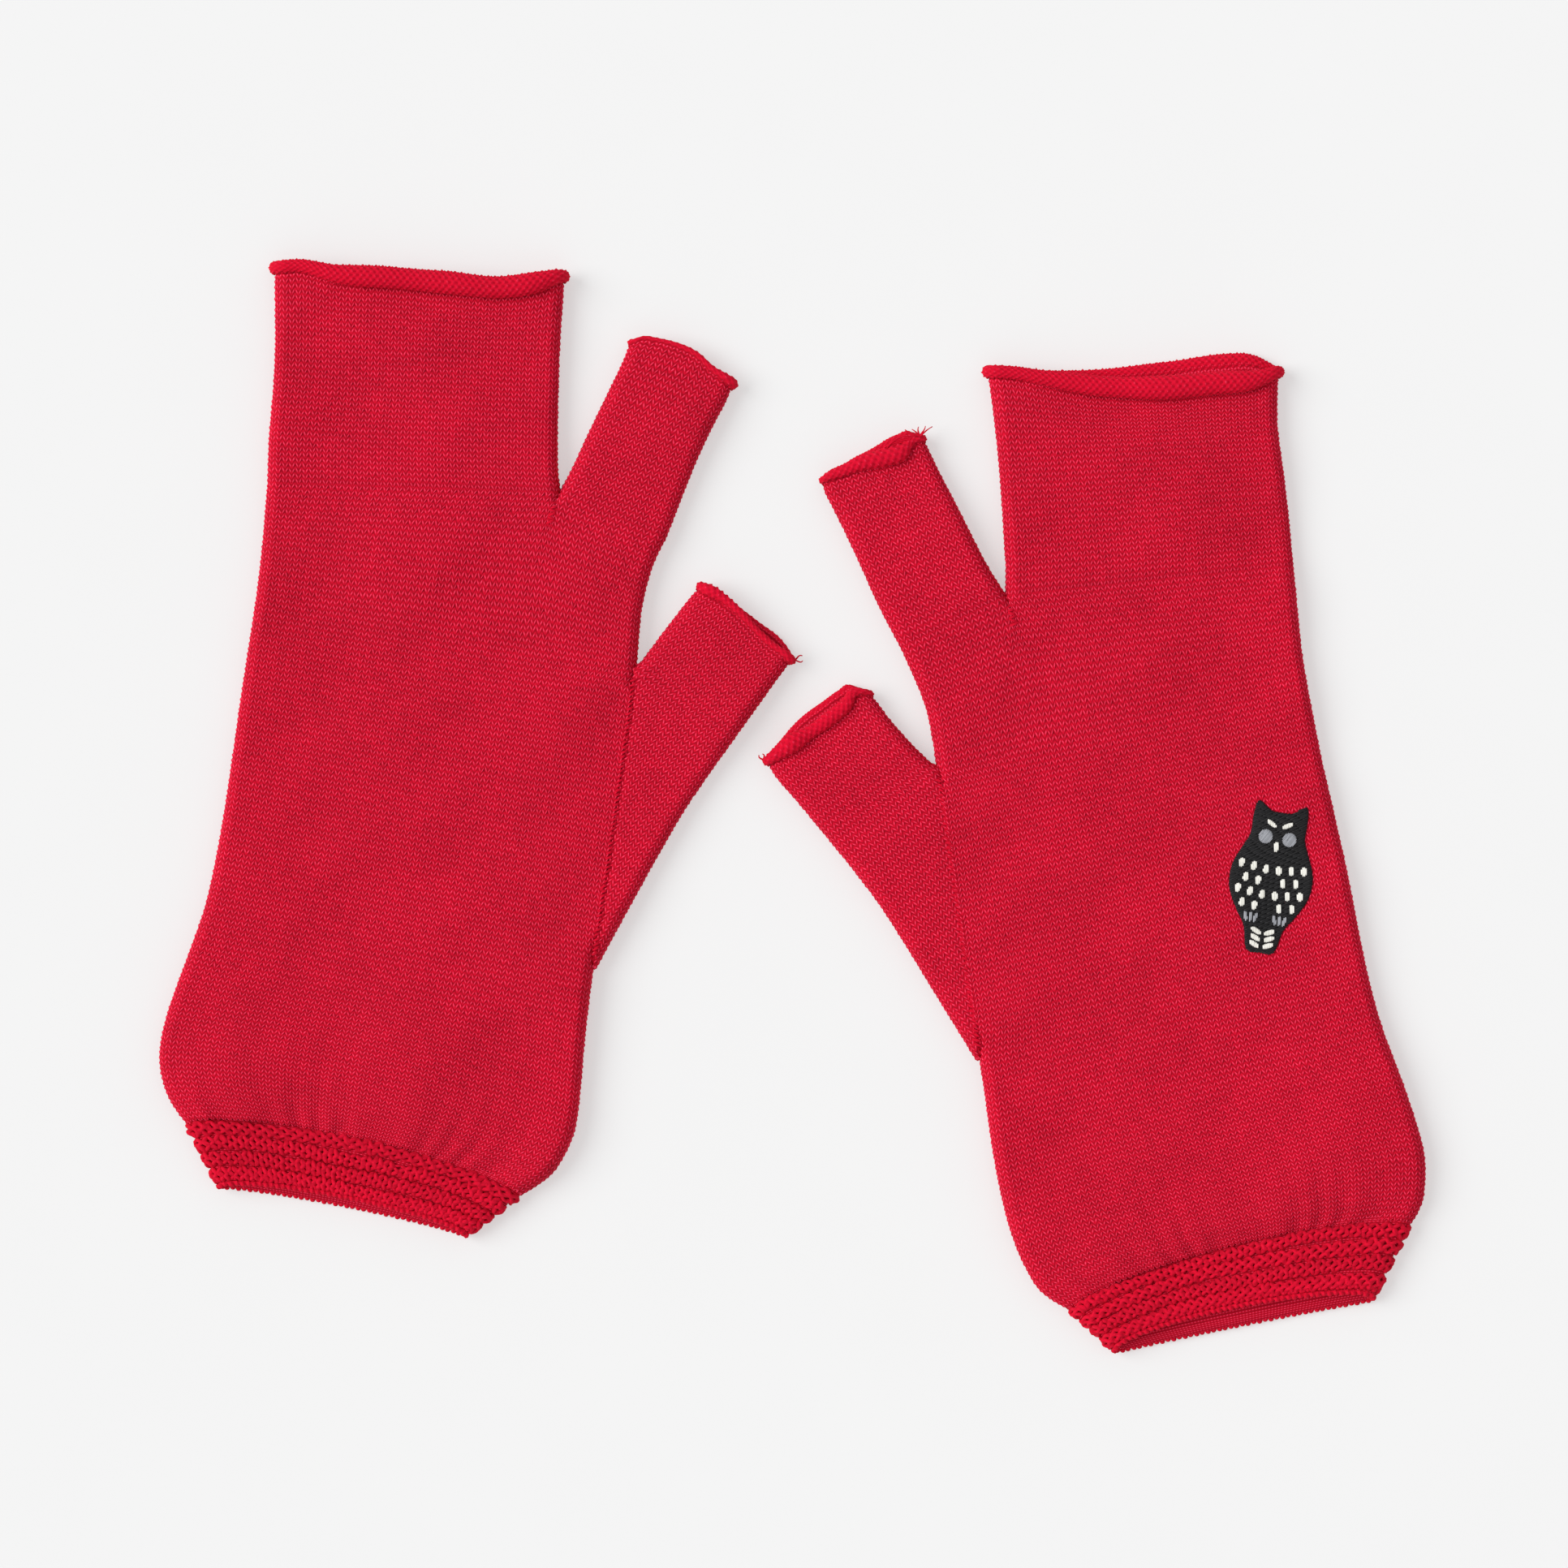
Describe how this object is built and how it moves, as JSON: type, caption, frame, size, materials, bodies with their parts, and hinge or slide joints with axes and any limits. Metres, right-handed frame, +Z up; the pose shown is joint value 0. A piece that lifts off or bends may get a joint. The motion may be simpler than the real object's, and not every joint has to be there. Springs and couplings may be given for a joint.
{
  "type": "pair of fingerless gloves",
  "caption": "Pair of red knitted gloves lying flat, with open sleeves for the thumb, the index finger and the other fingers, ridged cuffs and a stitched owl.",
  "frame": {"origin": "on the table, under the middle of the pair's outline", "axes": "+X from the left glove to the right one, +Y towards the fingertips, +Z up, the backs of the hands up"},
  "size_m": [0.312, 0.2689, 0.0092],
  "materials": {
    "red_knit": "matte plain knit, knit side out",
    "red_hem": "matte plain knit rolled over, purl side out",
    "red_cuff": "matte ridged knit",
    "red_yarn": "loose yarn and joining stitches",
    "elastic": "covered elastic strand",
    "black_thread": "satin stitch, slightly glossy",
    "white_thread": "satin stitch, slightly glossy",
    "grey_thread": "satin stitch, slightly glossy",
    "backing": "soft non-woven backing"
  },
  "bodies": {
    "left_hand": {"left_hand_tube": "red_knit", "left_fork_join": "red_yarn", "left_thumb_seam": "red_yarn"},
    "left_fingers": {"left_finger_sleeve": "red_knit", "left_finger_hem": "red_hem"},
    "left_index": {"left_index_sleeve": "red_knit", "left_index_hem": "red_hem"},
    "left_thumb": {"left_thumb_sleeve": "red_knit", "left_thumb_hem": "red_hem", "left_thumb_yarn_end": "red_yarn"},
    "left_cuff_band": {"left_cuff": "red_cuff", "left_cuff_elastic": "elastic"},
    "right_hand": {"right_hand_tube": "red_knit", "right_fork_join": "red_yarn", "right_thumb_seam": "red_yarn", "owl_ground": "black_thread", "owl_flecks": "white_thread", "owl_eyes": "grey_thread", "owl_claws": "grey_thread", "owl_backing": "backing"},
    "right_fingers": {"right_finger_sleeve": "red_knit", "right_finger_hem": "red_hem"},
    "right_index": {"right_index_sleeve": "red_knit", "right_index_hem": "red_hem", "right_index_yarn_end": "red_yarn"},
    "right_thumb": {"right_thumb_sleeve": "red_knit", "right_thumb_hem": "red_hem", "right_thumb_yarn_end": "red_yarn"},
    "right_cuff_band": {"right_cuff": "red_cuff", "right_cuff_elastic": "elastic"}
  },
  "joints": [
    {"name": "left_fingers_fold", "type": "hinge", "parent": "left_hand", "child": "left_fingers", "pos_m": [-0.0936, 0.07925, 0.008], "axis": [0.9994, -0.035, 0], "range_deg": [0, 150]},
    {"name": "left_index_fold", "type": "hinge", "parent": "left_hand", "child": "left_index", "pos_m": [-0.04405, 0.07255, 0.008], "axis": [0.9143, -0.4051, 0], "range_deg": [0, 90]},
    {"name": "left_thumb_fold", "type": "hinge", "parent": "left_hand", "child": "left_thumb", "pos_m": [-0.0435, -0.0024, 0.008], "axis": [-0.1407, -0.9901, 0], "range_deg": [0, 90]},
    {"name": "left_cuff_fold", "type": "hinge", "parent": "left_hand", "child": "left_cuff_band", "pos_m": [-0.1084, -0.0872, 0.008], "axis": [-0.9777, 0.21, 0], "range_deg": [0, 150]},
    {"name": "right_fingers_fold", "type": "hinge", "parent": "right_hand", "child": "right_fingers", "pos_m": [0.0884, 0.05625, 0.008], "axis": [0.9943, 0.1062, 0], "range_deg": [0, 150]},
    {"name": "right_index_fold", "type": "hinge", "parent": "right_hand", "child": "right_index", "pos_m": [0.03965, 0.0463, 0.008], "axis": [0.8923, 0.4514, 0], "range_deg": [0, 90]},
    {"name": "right_thumb_fold", "type": "hinge", "parent": "right_hand", "child": "right_thumb", "pos_m": [0.04065, -0.0261, 0.008], "axis": [-0.1412, 0.99, 0], "range_deg": [0, 90]},
    {"name": "right_cuff_fold", "type": "hinge", "parent": "right_hand", "child": "right_cuff_band", "pos_m": [0.1107, -0.1136, 0.008], "axis": [-0.9696, -0.2447, 0], "range_deg": [0, 150]},
    {"name": "right_glove_lift", "type": "slide", "parent": "left_hand", "child": "right_hand", "axis": [0, 0, 1], "range_m": [0, 0.1]}
  ]
}
